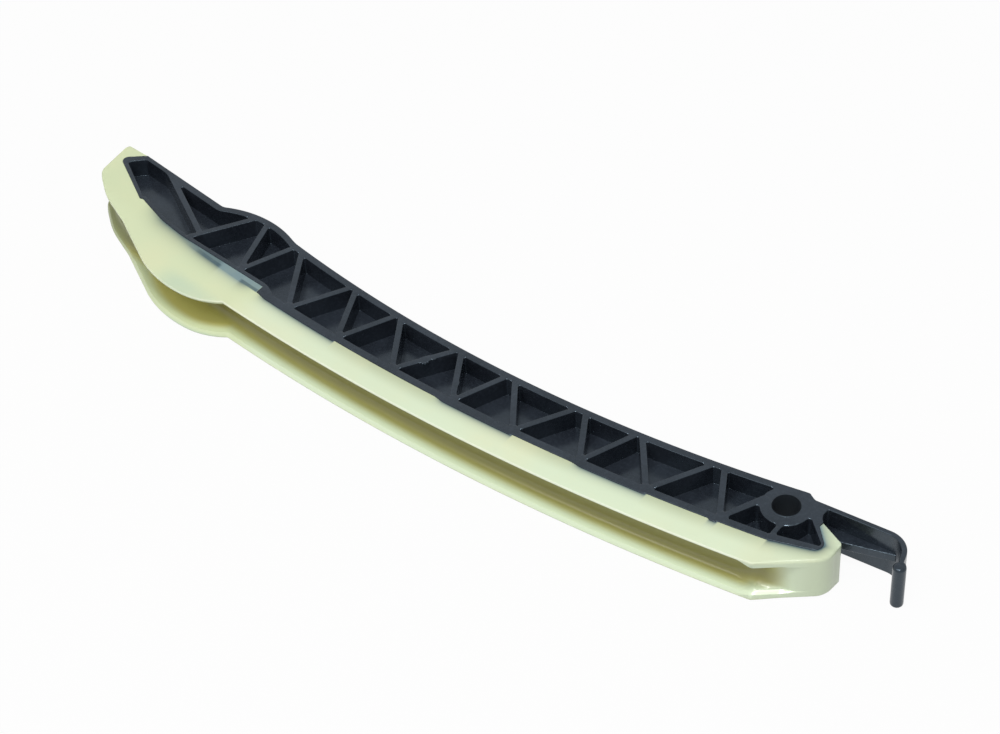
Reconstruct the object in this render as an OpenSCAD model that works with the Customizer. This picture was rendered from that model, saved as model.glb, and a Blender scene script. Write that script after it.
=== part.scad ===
// Chain guide rail for an engine timing drive: a black trussed carrier that swings on one
// pivot bore, and a pale slide shoe moulded round its front edge as a channel for the chain.
// The pivot axis is Z, at the origin. The rail runs to -X and the chain side faces -Y.
// The guide lies on one side, z = 0. Lengths are in millimetres.

/* [Pivot] */
// Diameter of the pivot bore
bore_d = 9; // [6:0.1:11]
// Diameter of the boss round the bore
boss_d = 16.4; // [14:0.2:20]

/* [Carrier] */
// Distance from the pivot axis to the carrier's far tip
rail_l = 286; // [276:1:310]
// Width of the carrier across its two sides
carrier_h = 17; // [13:0.5:26]
// Radius of the hollow back edge
back_r = 545; // [500:5:620]
// Distance from the pivot to the lowest point of the back edge
back_low = 97.5; // [90:0.5:105]
// Depth from the back edge to the front edge, at mid length
carrier_depth = 22.3; // [20:0.1:26]
// Radius of the bowed front edge that carries the shoe
front_r = 750; // [680:5:850]
// Distance from the pivot to the crown of the front edge
front_low = 104; // [98:0.5:110]
// Reach of the rounded front end past the pivot
lobe_x = 18; // [16:0.1:20]
// Radius of the rounded front end
lobe_r = 3; // [2.2:0.1:3.4]
// Distance of the rounded front end below the pivot axis
lobe_drop = 8.1; // [7.2:0.1:9]

/* [Truss] */
// Thickness of the web between the two sides' pockets
web_t = 3; // [1.5:0.1:6]
// Thickness of the rim along the back edge
back_rim = 2.6; // [1.5:0.1:3.6]
// Thickness of the rim along the front edge
front_rim = 2.7; // [1.5:0.1:3.6]
// Thickness of the front rim behind the shoe's lip, in the tail
tail_rim = 1.6; // [1:0.1:2.6]
// Thickness of the ribs
rib_t = 2.1; // [1.2:0.1:3]
// Distance between the feet of neighbouring rib pairs
bay = 24.8; // [20:0.1:30]
// Distance from the pivot to the first rib foot
first_foot = 14.4; // [13:0.1:16]
// How far the first rib pair and every other one after it lean towards the pivot
near_lean = 0.5; // [0:0.1:3]
// How far the rib pairs between them lean towards the tail
far_lean = 2.9; // [0:0.1:4]
// Distance between the two ribs of a pair where they meet the back rim
apex_gap = 2.4; // [0:0.1:4]
// Distance from the tip to where the long tail rib leaves the back rim
tail_rib = 24; // [20:0.5:30]
// Thickness of the short post under the boss
post_t = 1.7; // [1:0.1:3]

/* [Tensioner pad and tail] */
// Distance from the pivot to the middle of the pad that the tensioner pushes
pad_x = 222.5; // [217:0.5:228]
// Radius of the pad's crown
pad_r = 38; // [30:1:60]
// Height of the pad's crown above the back edge's own curve
pad_proud = 0.3; // [0:0.1:1.5]
// How far the tail's back edge runs below the pad's crown
tail_drop = 5.9; // [5:0.1:7]
// Slope of the tail's back edge, degrees
tail_slope = 8.8; // [6:0.1:11]
// Radius of the carrier's tip
tip_r = 2.1; // [1.4:0.1:2.8]
// Length of the slanted end behind the tip
tip_slant = 5; // [4:0.1:7]

/* [Hook arm] */
// Height of the arm's outer edge above the pivot axis, beside the boss
arm_top = 6.8; // [6.4:0.1:7.8]
// Slope of the arm's outer edge, degrees
arm_slope = 4.4; // [0:0.2:8]
// Thickness of the arm's wall
arm_wall = 1.7; // [1.2:0.1:2.4]
// Distance from the pivot to the centre of the hook's bend
hook_x = 32.2; // [28:0.2:40]
// Outer radius of the hook's bend
hook_r = 8.5; // [6:0.1:10]
// Direction in which the hook's leg leaves the bend, degrees from the chain side
leg_turn = 17; // [0:1:30]
// Length of the hook's leg to the centre of its end bead
leg_l = 5; // [2:0.1:8]
// Radius of the bead at the hook's end
bead_r = 2.1; // [1:0.05:2.4]

/* [Slide shoe] */
// How far the shoe's sides lie below the carrier's sides
shoe_inset = 0.2; // [0:0.05:1]
// Depth of the shoe from the carrier's front edge to the flanges' edge
shoe_depth = 10.4; // [9:0.1:14]
// Radius of the flanges' edge
flange_r = 820; // [760:5:900]
// Thickness of each flange
flange_t = 1.8; // [1.2:0.1:3]
// Depth of the chain channel between the flanges
channel_depth = 7; // [4:0.1:7.8]
// Size of the lead-in chamfer inside each flange's edge
lead_in = 1; // [0.2:0.1:1.1]
// Height of the keys that lock the carrier's front edge into the shoe
key_rise = 0.9; // [0.3:0.1:1.4]
// Distance from the pivot to the start of the shoe's lip over the tail
lip_x = 199.5; // [196:0.5:203]
// Depth of the lip's recess in the carrier's front edge
lip_step = 3.4; // [1:0.1:4]
// Thickness of the shoe round the carrier's tip
tip_wall = 4; // [3:0.1:6]

/* [Flange ears] */
// Distance from the pivot to the deepest point of the ears
ear_x = 221; // [218.5:0.5:223]
// How far the ears reach past the flanges' own curve
ear_drop = 6.6; // [6:0.1:8]
// Radius of the ears on the pivot side
ear_near_r = 27; // [24:1:30]
// Radius of the ears on the tail side
ear_far_r = 48; // [42:1:54]

/* [Nose] */
// Reach of the nose past the pivot
nose_x = 22.2; // [21:0.1:25]
// Radius of the nose's bow
nose_r = 7.5; // [6.5:0.5:10]
// Radius of the nose's back corner
nose_corner_r = 1.5; // [0.8:0.1:2.2]
// Distance of the nose's back corner below the pivot axis
nose_back = 4.6; // [4:0.1:5.4]
// Distance past the pivot at which the flanges leave their own curve for the nose
nose_start = 4; // [0:0.5:6]

/* [Hidden] */

// Facets of the long arcs and of the small rounds
$fn = 96;
arc_fn = 1440;
round_n = 16;

carrier_col = "#2b2f37";
shoe_col = "#dde6c0";

// Keys along the front edge: distance of the middle from the pivot, and length
keys = [[180.8, 37.4], [102.8, 30.6], [52, 28], [15.3, 3.5]];
// Tail's front edge: distance from the tip, and depth below the tail's back edge
tail_edge = [[46, 20.1], [34, 19.4], [20, 17.2]];
// Tip's round end, below the tail's back edge, and the directions that it turns between
tip_depth = 6.9;
tip_turn = [133, 239];
// Direction at which the ears' far arc gives way to the tail flanges
ear_end = 242;
// Directions between which the rounded front end turns
lobe_turn = [-75, 38];
// Directions between which the nose's bow and its back corner turn
nose_turn = [-55, 0, 66];
// Flanges' edge past the ears: distance from the tip, and depth below the tail's back edge
tail_flange = [[22.7, 28.9], [9, 24.6], [0.7, 19.2]];
// Shoe's end round the tip: distance from that end, and depth below the tail's back edge
tip_cap = [[2.4, 17.2], [1.5, 15.4], [0, 2.4], [0.7, 0.6]];
// Corner where the front end, the arm's neck and the shoe meet
neck = [12.9, 0.6];
neck_foot = [12.8, -1.4];
// Left end of the arm's pocket, and the cut corner at its foot
pocket_end = [[11.2, 3.4], [11.8, 1.9]];
// Thickness of the rounded front end beside the shoe's nose
lobe_rim = 1.3;
// Shoulder where the back edge steps down to the arm: reach, depth below the boss's top, radius
shoulder = [2.9, 0.6, 1.2];
// Directions between which the shoulder turns
shoulder_turn = [100, 40];
// Where the long tail rib lands on its neighbour, past that rib's foot
tail_foot = [1.4, 2.3];
// Slope of the shelf's free edge, degrees
shelf_slope = 16;
// Distance of the short post past the pivot
post_x = 2.7;
// Length by which cuts run past the faces they open
clear = 1;
// Far reach of cutting shapes
far = 400;

// Centres and heights of the three long arcs
back_cy = sqrt(pow(back_r + boss_d / 2, 2) - pow(back_low, 2));
crown_y = back_cy - back_r - carrier_depth;
front_cy = crown_y + front_r;
flange_cy = crown_y - shoe_depth + flange_r;
floor_r = flange_r - channel_depth;

function arc_y(x, low, cy, r) = cy - sqrt(r * r - pow(x + low, 2));
function back_y(x) = arc_y(x, back_low, back_cy, back_r);
function front_y(x) = arc_y(x, front_low, front_cy, front_r);
function flange_y(x) = arc_y(x, front_low, flange_cy, flange_r);
function arc(c, r, a, b) = [for (i = [0:round_n]) let (t = a + (b - a) * i / round_n) c + r * [cos(t), sin(t)]];

// The pad's crown, and the tail's straight back edge
pad_top = back_y(-pad_x) + pad_proud;
function tail_y(x) = pad_top - tail_drop - tan(tail_slope) * (x + pad_x);
function pad_y(x) = pad_top - pad_r + sqrt(pad_r * pad_r - pow(x + pad_x, 2));
function from_tip(p) = let (x = p[0] - rail_l) [x, tail_y(x) - p[1]];

// The back edge above any point, over the arc, the pad and the tail
function top_y(x) = x > -pad_x ? max(back_y(x), abs(x + pad_x) < pad_r / 2 ? pad_y(x) : -far)
                               : max(tail_y(x), abs(x + pad_x) < pad_r / 2 ? pad_y(x) : -far);

// The front edge below any point, over the arc and the lipped tail
tail_front = concat([for (p = tail_edge) from_tip(p)], [[-lip_x, front_y(-lip_x) + lip_step]]);
function bottom_y(x) = x > -lip_x ? front_y(x) : lookup(x, [for (i = [2, 1, 0, 3]) tail_front[i]]);

// Arm: its outer edge, and the centre of the hook's bend
function arm_y(x) = arm_top + tan(arm_slope) * x;
hook_c = [hook_x, arm_y(hook_x - hook_r * sin(arm_slope)) - hook_r * cos(arm_slope)];
leg_dir = [sin(leg_turn), -cos(leg_turn)];
leg_side = [cos(leg_turn), sin(leg_turn)];
bead_c = hook_c + (hook_r - arm_wall / 2) * leg_side + leg_l * leg_dir;

// A long arc's disc, centred above the rail
module disc(low, cy, r) {
  translate([-low, cy]) circle(r, $fn = arc_fn);
}

// A strip between two points
module strip(a, b, t) {
  d = b - a;
  translate(a) rotate(atan2(d[1], d[0])) translate([0, -t / 2]) square([norm(d), t]);
}

// Everything between two distances left of the pivot
module span(from, to) {
  translate([-to, -far / 2]) square([to - from, far]);
}

// Rail between its back and front arcs, with the keys on its front edge
module rail_plan() {
  difference() {
    intersection() {
      union() {
        disc(front_low, front_cy, front_r);
        for (k = keys) intersection() {
          disc(front_low, front_cy, front_r + key_rise);
          span(k[0] - k[1] / 2, k[0] + k[1] / 2);
        }
      }
      span(-post_x, lip_x);
      translate([-far, -far / 2]) square([2 * far, far / 2 + boss_d * 2]);
    }
    disc(back_low, back_cy, back_r);
  }
}

// Tail from the pad to the rounded tip, behind the shoe's lip
module tail_plan() {
  tip_c = from_tip([tip_r, tip_depth]);
  slant = from_tip([tip_slant, 0]);
  polygon(concat(
    [[-lip_x, back_y(-lip_x)], [-pad_x, tail_y(-pad_x)], slant],
    arc(tip_c, tip_r, tip_turn[0], tip_turn[1]),
    [for (i = [2, 1, 0, 3]) tail_front[i]]));
  intersection() {
    translate([-pad_x, pad_top - pad_r]) circle(pad_r, $fn = 4 * $fn);
    translate([-pad_x - pad_r / 2, tail_y(-pad_x) - tail_drop]) square([pad_r, far]);
  }
  difference() {
    translate([-pad_x, tail_y(-pad_x)]) square([pad_x - lip_x, pad_r]);
    disc(back_low, back_cy, back_r);
  }
}

// Rounded front end under the boss
module lobe_plan() {
  polygon(concat(
    [[0, 0], [0, front_y(0) + front_rim], [post_x, front_y(post_x)]],
    arc([lobe_x - lobe_r, -lobe_drop], lobe_r, lobe_turn[0], lobe_turn[1]),
    [neck_foot, [boss_d / 2, 0]]));
}

// Neck between the boss and the arm's pocket
module neck_plan() {
  side = [boss_d / 4, pocket_end[0][0]];
  polygon(concat([[0, 0]], [for (x = side) [x, arm_y(x) - arm_wall / 2]], pocket_end,
                 [neck, neck_foot, [boss_d / 2, -lobe_drop / 8]]));
}

// Shoulder on top of the boss, where the back edge steps down to the arm
module shoulder_plan() {
  back_x = -2 * shoulder[2];
  arm_x = 2 * shoulder[0];
  polygon(concat(
    [[0, 0], [back_x, back_y(back_x) - shoulder[1] / 2]],
    arc([shoulder[0], boss_d / 2 - shoulder[1]], shoulder[2], shoulder_turn[0], shoulder_turn[1]),
    [[arm_x, arm_y(arm_x) - arm_wall / 2]]));
}

// Arm's wall, with the hook's bend, leg and bead
module hook_plan() {
  start = [0, arm_y(0)];
  bend = [90 + arm_slope, leg_turn];
  outer = arc(hook_c, hook_r, bend[0], bend[1]);
  inner = arc(hook_c, hook_r - arm_wall, bend[1], bend[0]);
  polygon(concat([start], outer, inner, [start - [0, arm_wall / cos(arm_slope)]]));
  strip(bead_c - (leg_l + arm_wall / 4) * leg_dir, bead_c, arm_wall);
  translate(bead_c) circle(bead_r);
}

// Shelf of the web along the arm, tapering out towards the hook
module shelf_plan() {
  reach = hook_c[0] + arm_wall;
  intersection() {
    polygon([neck, [reach, neck[1] + tan(shelf_slope) * (reach - neck[0])],
             [reach, far], [boss_d / 2, far], [boss_d / 2, 0]]);
    union() {
      polygon([[0, -lobe_drop], [0, arm_y(0) - arm_wall / 2],
               [hook_c[0], arm_y(hook_c[0]) - arm_wall / 2], [hook_c[0], -lobe_drop]]);
      translate(hook_c) circle(hook_r - arm_wall / 2);
    }
  }
}

// Whole outline of the carrier, without the shelf
module carrier_plan() {
  rail_plan();
  tail_plan();
  lobe_plan();
  neck_plan();
  shoulder_plan();
  hook_plan();
  circle(d = boss_d);
}

// Rib pair feet and tops, counted from the pivot
feet = floor((pad_x + pad_r / 2 - first_foot) / bay);
function foot(i) = let (x = -first_foot - i * bay) [x, bottom_y(x) + front_rim / 2];
function top(i, side) =
  let (x = -first_foot - (i - 0.5) * bay + (i % 2 == 1 ? near_lean : -far_lean) + side * apex_gap / 2)
  [x, top_y(x) - back_rim / 2];

// Zig-zag ribs, the long tail rib and the two short ribs at the boss
module ribs_plan() {
  for (i = [1:feet]) {
    strip(foot(i), top(i, -1), rib_t);
    strip(top(i, 1), foot(i - 1), rib_t);
  }
  tail_top = from_tip([tail_rib, back_rim / 2]);
  strip(foot(feet) + tail_foot, tail_top, rib_t);
  strip(foot(0), [-boss_d / 2, 0], rib_t);
  strip([post_x, 0], [post_x, front_y(post_x)], post_t);
}

// Pockets: the outline drawn in by its rims, less the ribs, the boss and the neck
module pockets_plan() {
  difference() {
    intersection() {
      translate([0, -back_rim]) union() {
        rail_plan();
        tail_plan();
        translate([0, -far / 2]) square([far, far]);
      }
      union() {
        difference() {
          disc(front_low, front_cy, front_r - front_rim);
          translate([post_x, -far]) square(2 * far);
          translate([-far - lip_x, -far]) square([far, 2 * far]);
        }
        translate([0, tail_rim]) tail_plan();
        intersection() {
          translate([0, front_rim]) lobe_plan();
          translate([-lobe_rim, 0]) lobe_plan();
        }
      }
    }
    ribs_plan();
    circle(d = boss_d);
    neck_plan();
  }
}

module carrier() {
  pocket_h = (carrier_h - web_t) / 2;
  color(carrier_col) difference() {
    union() {
      linear_extrude(carrier_h) carrier_plan();
      translate([0, 0, pocket_h]) linear_extrude(web_t) shelf_plan();
    }
    for (z = [-clear, carrier_h - pocket_h]) {
      translate([0, 0, z]) linear_extrude(pocket_h + clear) pockets_plan();
    }
    translate([0, 0, -clear]) cylinder(h = carrier_h + 2 * clear, d = bore_d);
  }
}

// Flanges of the tail, from the ears to the wrap round the tip, up to the carrier's back edge
module shoe_tail_plan() {
  low = flange_y(-ear_x) - ear_drop;
  overlap = 2 * clear;
  near_end = 270 + asin((ear_x - lip_x - overlap - clear) / ear_near_r);
  polygon(concat(
    [[-lip_x + overlap, front_y(-lip_x)]],
    arc([-ear_x, low + ear_near_r], ear_near_r, near_end, 270),
    arc([-ear_x, low + ear_far_r], ear_far_r, 269, ear_end),
    [for (p = tail_flange) from_tip(p)],
    [for (p = tip_cap) from_tip(p - [tip_wall, 0])],
    [from_tip([tip_slant, 0]), from_tip([tail_rib, tip_depth]), [-lip_x + overlap, bottom_y(-pad_x)]]));
}

// Nose that wraps the carrier's rounded front end
module nose_plan() {
  bow_c = [nose_x - nose_r, -lobe_drop];
  corner_c = [nose_x - nose_corner_r, -nose_back];
  polygon(concat(
    [[0, 0], [0, flange_y(0) + channel_depth / 2], [nose_start, flange_y(nose_start)]],
    arc(bow_c, nose_r, nose_turn[0], nose_turn[1]),
    arc(corner_c, nose_corner_r, nose_turn[1], nose_turn[2]),
    [neck, neck_foot]));
}

// Flanged stretch along the carrier's front edge, from the ears to the nose
module band_plan() {
  difference() {
    intersection() {
      disc(front_low, flange_cy, flange_r);
      span(-nose_start, ear_x);
    }
    disc(front_low, front_cy, front_r);
  }
}

// Lead-in chamfer of one flange, along the flanges' own curve, for the flange above z = 0
module lead_in_ring() {
  from = 270 - asin((lip_x + clear - front_low) / flange_r);
  to = 270 + asin((nose_start + front_low) / flange_r);
  translate([-front_low, flange_cy]) rotate(from) rotate_extrude(angle = to - from, $fn = arc_fn) {
    polygon([[flange_r - lead_in, 0], [flange_r - lead_in, -clear], [flange_r + clear, -clear],
             [flange_r + clear, lead_in + clear]]);
  }
}

module slide_shoe() {
  shoe_w = carrier_h - 2 * shoe_inset;
  color(shoe_col) translate([0, 0, shoe_inset]) difference() {
    union() {
      linear_extrude(shoe_w) band_plan();
      linear_extrude(shoe_w) shoe_tail_plan();
      linear_extrude(shoe_w) nose_plan();
    }
    translate([0, 0, -clear]) linear_extrude(shoe_w + 2 * clear) {
      carrier_plan();
      shelf_plan();
    }
    translate([0, 0, flange_t]) linear_extrude(shoe_w - 2 * flange_t) difference() {
      translate([-far, -far / 2]) square([2 * far, far]);
      disc(front_low, flange_cy, floor_r);
    }
    translate([0, 0, shoe_w - flange_t]) lead_in_ring();
    translate([0, 0, flange_t]) mirror([0, 0, 1]) lead_in_ring();
  }
}

carrier();
slide_shoe();
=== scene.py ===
import math
import bpy
import bmesh
import numpy as np
from mathutils import Matrix, Vector
from mathutils.geometry import delaunay_2d_cdt


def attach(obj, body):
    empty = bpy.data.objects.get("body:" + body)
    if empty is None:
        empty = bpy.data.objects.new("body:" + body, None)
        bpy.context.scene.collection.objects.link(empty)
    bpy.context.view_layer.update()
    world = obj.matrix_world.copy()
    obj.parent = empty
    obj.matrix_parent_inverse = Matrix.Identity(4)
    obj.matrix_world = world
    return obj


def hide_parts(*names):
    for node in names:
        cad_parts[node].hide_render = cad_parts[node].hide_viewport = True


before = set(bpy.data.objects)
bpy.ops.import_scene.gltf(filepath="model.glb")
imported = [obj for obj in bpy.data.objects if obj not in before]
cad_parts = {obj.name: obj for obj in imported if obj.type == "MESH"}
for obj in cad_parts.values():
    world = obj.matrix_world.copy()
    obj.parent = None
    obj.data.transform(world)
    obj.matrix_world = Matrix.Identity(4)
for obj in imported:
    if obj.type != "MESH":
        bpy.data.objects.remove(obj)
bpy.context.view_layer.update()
metre = 0.001  # all shapes are worked out in millimetres
print("frame loaded:", sorted(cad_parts))


# Plan curves shared by both mouldings
rail = {
    "height": 17.0, "web": 3.0,
    "bore": 4.5, "boss": 8.2,
    "backRadius": 545.0, "backLow": 97.5, "depth": 22.3,
    "frontRadius": 750.0, "frontLow": 104.0,
    "reach": 286.0,
    "padX": 222.5, "padRadius": 38.0, "padProud": 0.3, "padBlend": 0.6,
    "tailDrop": 5.9, "tailSlope": 8.8, "tailStart": 10.0,
    "keys": [(180.8, 37.4), (103.5, 32.0), (52.0, 28.0), (15.3, 3.5)],  # how far from the pivot, and length
    "keyRise": 0.6, "keyRun": 5.0, "keyShare": 0.3, "keyEnd": 1.2,
    "lipX": 199.5, "lipStep": 3.4,
    "tailEdge": [(19.9, 17.2), (21.2, 16.7), (34.0, 19.4), (46.0, 20.1)],  # along and down from the tip
    "tailRounds": [0.3, 0.3, 30.0, 60.0],
    "tipRadius": 2.1, "tipDepth": 6.5, "tipSlant": 6.2, "tipTurn": (125.0, 238.0),
    "lobeX": 18.0, "lobeRadius": 3.0, "lobeDrop": 8.1, "lobeTurn": (-75.0, 38.0), "postX": 2.7,
    "neckFoot": (12.8, -1.4), "neck": (12.9, 0.6),
    "shoeDepth": 10.4, "flangeRadius": 820.0, "channelDepth": 7.0,
}

backCentreY = math.sqrt((rail["backRadius"] + rail["boss"]) ** 2 - rail["backLow"] ** 2)
crownY = backCentreY - rail["backRadius"] - rail["depth"]
frontCentreY = crownY + rail["frontRadius"]
flangeCentreY = crownY - rail["shoeDepth"] + rail["flangeRadius"]
floorRadius = rail["flangeRadius"] - rail["channelDepth"]


def arcY(x, low, centreY, radius):  # height of a long arc's underside above x
    return centreY - np.sqrt(np.maximum(radius ** 2 - (x + low) ** 2, 0.0))


def backY(x):  # hollow arc of the back edge
    return arcY(x, rail["backLow"], backCentreY, rail["backRadius"])


def frontY(x):  # arc of the seam along the carrier's front
    return arcY(x, rail["frontLow"], frontCentreY, rail["frontRadius"])


def flangeY(x):  # arc of the flanges' free edges
    return arcY(x, rail["frontLow"], flangeCentreY, rail["flangeRadius"])


padTop = float(backY(-rail["padX"])) + rail["padProud"]


def tailY(x):  # straight back edge of the tail
    return padTop - rail["tailDrop"] - math.tan(math.radians(rail["tailSlope"])) * (x + rail["padX"])


def fromTip(along, down):  # a point given by its distance from the tip and below the tail's back edge
    x = along - rail["reach"]
    return np.array([x, tailY(x) - down])


def softMax(a, b, width):  # the larger of two curves, with a rounded change-over
    h = np.clip(0.5 + 0.5 * (a - b) / width, 0.0, 1.0)
    return b + (a - b) * h + width * h * (1.0 - h)


def topY(x):  # back edge: long hollow arc, tensioner pad, straight tail
    x = np.asarray(x, float)
    fromPad = np.minimum(np.abs(x + rail["padX"]), rail["padRadius"] * 0.99)  # keeps the root real
    pad = padTop - rail["padRadius"] + np.sqrt(rail["padRadius"] ** 2 - fromPad ** 2)
    edge = np.where(x > -rail["padX"] + rail["tailStart"], backY(x), tailY(x))
    return softMax(edge, pad, rail["padBlend"])


tailFront = np.array([fromTip(*p) for p in rail["tailEdge"]]
                     + [[-rail["lipX"], float(frontY(-rail["lipX"])) + rail["lipStep"]]])


def smooth(t):  # smooth step from 0 to 1
    t = np.clip(t, 0.0, 1.0)
    return t * t * (3.0 - 2.0 * t)


def between(a, b, share):  # a where share is 0, b where it is 1
    return a + (b - a) * share


def keyRun(length):  # how far a key takes to run in; less on a short key
    return min(rail["keyRun"], rail["keyShare"] * length)


def keyLift(x):  # 1 over a key, 0 between keys; a key runs in slowly from the tail side and ends short
    lift = np.zeros_like(x)
    for middle, length in rail["keys"]:
        runIn = smooth((x + middle + length / 2) / keyRun(length))
        runOut = smooth((length / 2 - x - middle) / rail["keyEnd"])
        lift = np.maximum(lift, runIn * runOut)
    return lift


# Path helpers: all work on whole arrays of plan points
def unit(vectors):  # each row scaled to length 1
    return vectors / np.linalg.norm(vectors, axis=1)[:, None]


def across(a, b):  # cross product in plan, above 0 where b turns left of a
    return a[..., 0] * b[..., 1] - a[..., 1] * b[..., 0]


def arcPath(centre, radius, start, end, step=0.5):  # circular arc in degrees
    count = max(4, int(abs(math.radians(end - start)) * radius / step) + 2)
    turn = np.radians(np.linspace(start, end, count))
    return np.column_stack([centre[0] + radius * np.cos(turn), centre[1] + radius * np.sin(turn)])


def roundCorners(points, radii):
    # each corner of an open path becomes an arc tangent to its two sides, as wide as the shorter one allows
    points = np.asarray(points, float)
    before = np.roll(points, 1, axis=0) - points
    after = np.roll(points, -1, axis=0) - points
    lenBefore = np.linalg.norm(before, axis=1)
    lenAfter = np.linalg.norm(after, axis=1)
    before = before / lenBefore[:, None]
    after = after / lenAfter[:, None]
    half = 0.5 * np.arccos(np.clip((before * after).sum(axis=1), -1.0, 1.0))
    wanted = np.asarray(radii, float) / np.maximum(np.tan(half), 1e-6)
    reach = np.minimum(wanted, 0.49 * np.minimum(lenBefore, lenAfter))
    radius = reach * np.tan(half)
    middle = before + after
    middle = middle / np.maximum(np.linalg.norm(middle, axis=1), 1e-9)[:, None]
    centre = points + middle * (radius / np.maximum(np.sin(half), 1e-6))[:, None]
    startArm = points + before * reach[:, None] - centre
    sweep = -np.sign(across(before, after)) * (math.pi - 2.0 * half)
    turn = sweep[:, None] * np.linspace(0.0, 1.0, 7)[None, :]
    turnedX = startArm[:, None, 0] * np.cos(turn) - startArm[:, None, 1] * np.sin(turn)
    turnedY = startArm[:, None, 0] * np.sin(turn) + startArm[:, None, 1] * np.cos(turn)
    arcs = np.stack([turnedX, turnedY], axis=2) + centre[:, None, :]
    sharp = reach < 1e-4
    arcs[sharp] = points[sharp][:, None, :]
    arcs[0] = points[0]
    arcs[-1] = points[-1]
    return dropRepeats(arcs.reshape(-1, 2), False)


def apart(path):  # which points of a closed path don't lie on the one before
    return np.linalg.norm(path - np.roll(path, 1, axis=0), axis=1) > 1e-3


def dropRepeats(path, closed=True):  # leaves out points that lie on the one before
    keep = apart(path)
    if not closed:
        keep[0] = True
    return path[keep]


def splitLong(path, step):  # adds points so that no side of a closed path is longer than step
    nextPoint = np.roll(path, -1, axis=0)
    count = np.maximum(1, np.ceil(np.linalg.norm(nextPoint - path, axis=1) / step).astype(int))
    owner = np.repeat(np.arange(len(path)), count)
    first = np.repeat(np.cumsum(count) - count, count)
    share = (np.arange(count.sum()) - first) / count[owner]
    return path[owner] + (nextPoint - path)[owner] * share[:, None]


def mitres(path):  # outward mitre vectors of a closed path that runs anticlockwise
    side = unit(np.roll(path, -1, axis=0) - path)
    normal = np.column_stack([side[:, 1], -side[:, 0]])
    last = np.roll(normal, 1, axis=0)
    spread = 1.0 + (normal * last).sum(axis=1)
    return (normal + last) / np.maximum(spread, 0.35)[:, None]


def meet(start, end, curve):  # where a line first crosses a curve y = f(x), going from start to end
    t = np.linspace(-0.2, 1.2, 4000)
    line = start + (end - start) * t[:, None]
    above = np.sign(line[:, 1] - curve(line[:, 0]))
    return line[np.nonzero(above[1:] != above[:-1])[0][0]]


def crossing(a, b, c, d):  # where the line a-b meets the line c-d
    return a + (b - a) * (across(c - a, d - c) / across(b - a, d - c))


# Mesh helpers
class Shell:
    # gathers grids and flat caps of one moulding, then welds them into one closed mesh
    def __init__(self):
        self.points, self.faces, self.count = [], [], 0

    def addGrid(self, grid, inward=False):
        # grid[i, j]: i runs round a closed path, j down the profile
        n, m = grid.shape[:2]
        index = np.arange(n * m).reshape(n, m) + self.count
        after = np.roll(index, -1, axis=0)
        quad = np.stack([index[:, :-1], index[:, 1:], after[:, 1:], after[:, :-1]], axis=-1).reshape(-1, 4)
        self.faces.append(quad[:, ::-1] if inward else quad)
        self.points.append(grid.reshape(-1, 3))
        self.count += n * m

    def addCap(self, rims, up):
        # flat face inside the first rim and outside the others; each rim keeps its own heights
        flat = np.concatenate(rims)
        ends = np.cumsum([len(r) for r in rims])
        loops = [list(range(e - len(r), e)) for r, e in zip(rims, ends)]
        out = delaunay_2d_cdt([Vector(p) for p in flat[:, :2]], [], loops, 1, 1e-7, True)
        triangles = [f for f, owners in zip(out[2], out[5]) if list(owners) == [0]]
        source = np.array([o[0] if o else 0 for o in out[3]])
        points = flat[source]
        triangles = np.array(triangles)
        a, b, c = (points[triangles[:, k], :2] for k in range(3))
        flip = (across(b - a, c - a) > 0) != up
        triangles[flip] = triangles[flip][:, ::-1]
        self.faces.append(triangles + self.count)
        self.points.append(points)
        self.count += len(points)

    def addSolid(self, grid):  # a wall with a flat face at both ends
        self.addGrid(grid)
        self.addCap([grid[:, 0]], True)
        self.addCap([grid[:, -1]], False)

    def build(self, name, material):  # one welded, smooth-shaded object at the origin
        mesh = bpy.data.meshes.new(name)
        faces = [face for block in self.faces for face in block.tolist()]
        mesh.from_pydata((np.concatenate(self.points) * metre).tolist(), [], faces)
        work = bmesh.new()
        work.from_mesh(mesh)
        bmesh.ops.remove_doubles(work, verts=work.verts, dist=2e-6)
        bmesh.ops.dissolve_degenerate(work, dist=1e-7, edges=work.edges)
        loose = sum(1 for e in work.edges if len(e.link_faces) != 2)
        work.to_mesh(mesh)
        work.free()
        mesh.shade_smooth()
        piece = bpy.data.objects.new(name, mesh)
        bpy.context.scene.collection.objects.link(piece)
        mesh.materials.append(material)
        flatten = piece.modifiers.new("flat faces stay flat", "WEIGHTED_NORMAL")
        flatten.weight = 90
        flatten.keep_sharp = False
        print(name, "faces:", len(mesh.polygons), "edges not shared by two faces:", loose)
        return piece


def roundEdge():  # quarter round from the flat top (inset 1) to the side (drop 1)
    turn = np.linspace(0.0, math.pi / 2, 5)
    return np.column_stack([1.0 - np.sin(turn), 1.0 - np.cos(turn)])


def carry(path, inset, height):  # profile carried round a path: moved in along the mitres, at its heights
    plan = path[:, None, :] - mitres(path)[:, None, :] * inset[:, :, None]
    return np.concatenate([plan, height[:, :, None]], axis=2)


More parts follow.
